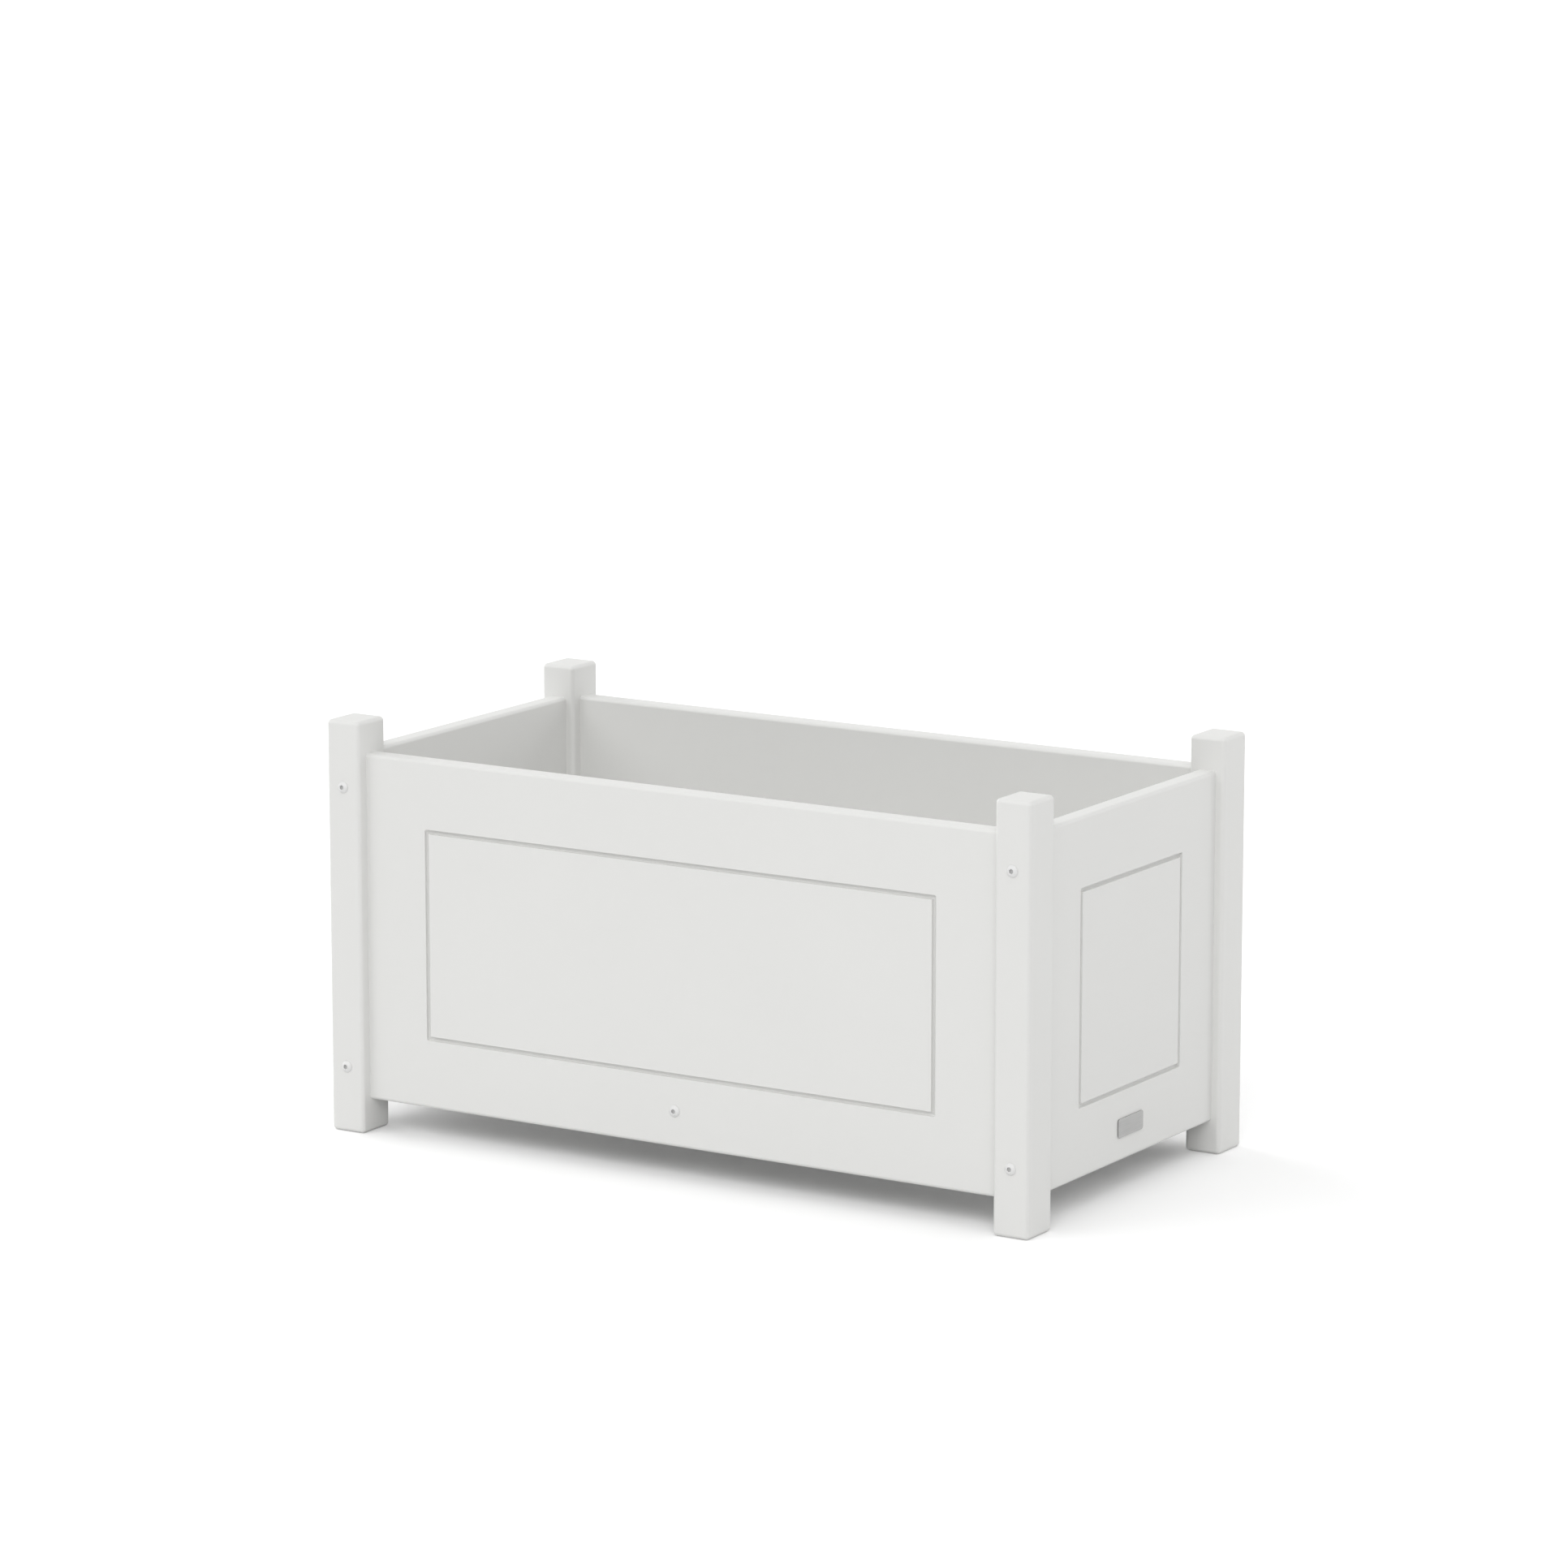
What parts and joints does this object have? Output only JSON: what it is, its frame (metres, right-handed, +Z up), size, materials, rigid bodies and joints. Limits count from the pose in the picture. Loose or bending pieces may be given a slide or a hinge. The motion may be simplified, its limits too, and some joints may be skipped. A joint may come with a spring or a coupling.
{
  "type": "versailles planter",
  "caption": "Rectangular outdoor planter of white plastic boards: corner posts that stand as feet, grooved panels between them and a slatted floor that drains.",
  "frame": {"origin": "on the ground, under the middle of the planter", "axes": "+X along the length towards the end with the plate, +Z up, the front faces -Y"},
  "size_m": [0.7564, 0.4058, 0.3937],
  "materials": {
    "board_white": "satin white plastic lumber",
    "bolt_white": "white painted steel",
    "insert_brass": "plain brass",
    "dowel_plastic": "plain plastic rod",
    "screw_steel": "stainless steel",
    "plate_metal": "brushed, bare",
    "pad_foam": "matt foam"
  },
  "bodies": {
    "root": {"post_front_left": "board_white", "post_front_right": "board_white", "post_back_left": "board_white", "post_back_right": "board_white", "panel_front": "board_white", "panel_back": "board_white", "panel_left": "board_white", "panel_right": "board_white", "cross_brace": "board_white", "floor_cleat_left": "board_white", "floor_cleat_right": "board_white", "floor_slat_front": "board_white", "floor_slat_mid_front": "board_white", "floor_slat_mid_back": "board_white", "floor_slat_back": "board_white", "post_bolts_front_left": "bolt_white", "post_bolts_front_right": "bolt_white", "post_bolts_back_left": "bolt_white", "post_bolts_back_right": "bolt_white", "inserts_front_left": "insert_brass", "inserts_front_right": "insert_brass", "inserts_back_left": "insert_brass", "inserts_back_right": "insert_brass", "dowels_front_left": "dowel_plastic", "dowels_front_right": "dowel_plastic", "dowels_back_left": "dowel_plastic", "dowels_back_right": "dowel_plastic", "brace_bolts": "bolt_white", "brace_inserts": "insert_brass", "slat_screws_left": "screw_steel", "slat_screws_centre": "screw_steel", "slat_screws_right": "screw_steel", "cleat_screws_left": "screw_steel", "cleat_screws_right": "screw_steel", "plate": "plate_metal", "plate_pad": "pad_foam"}
  },
  "joints": []
}
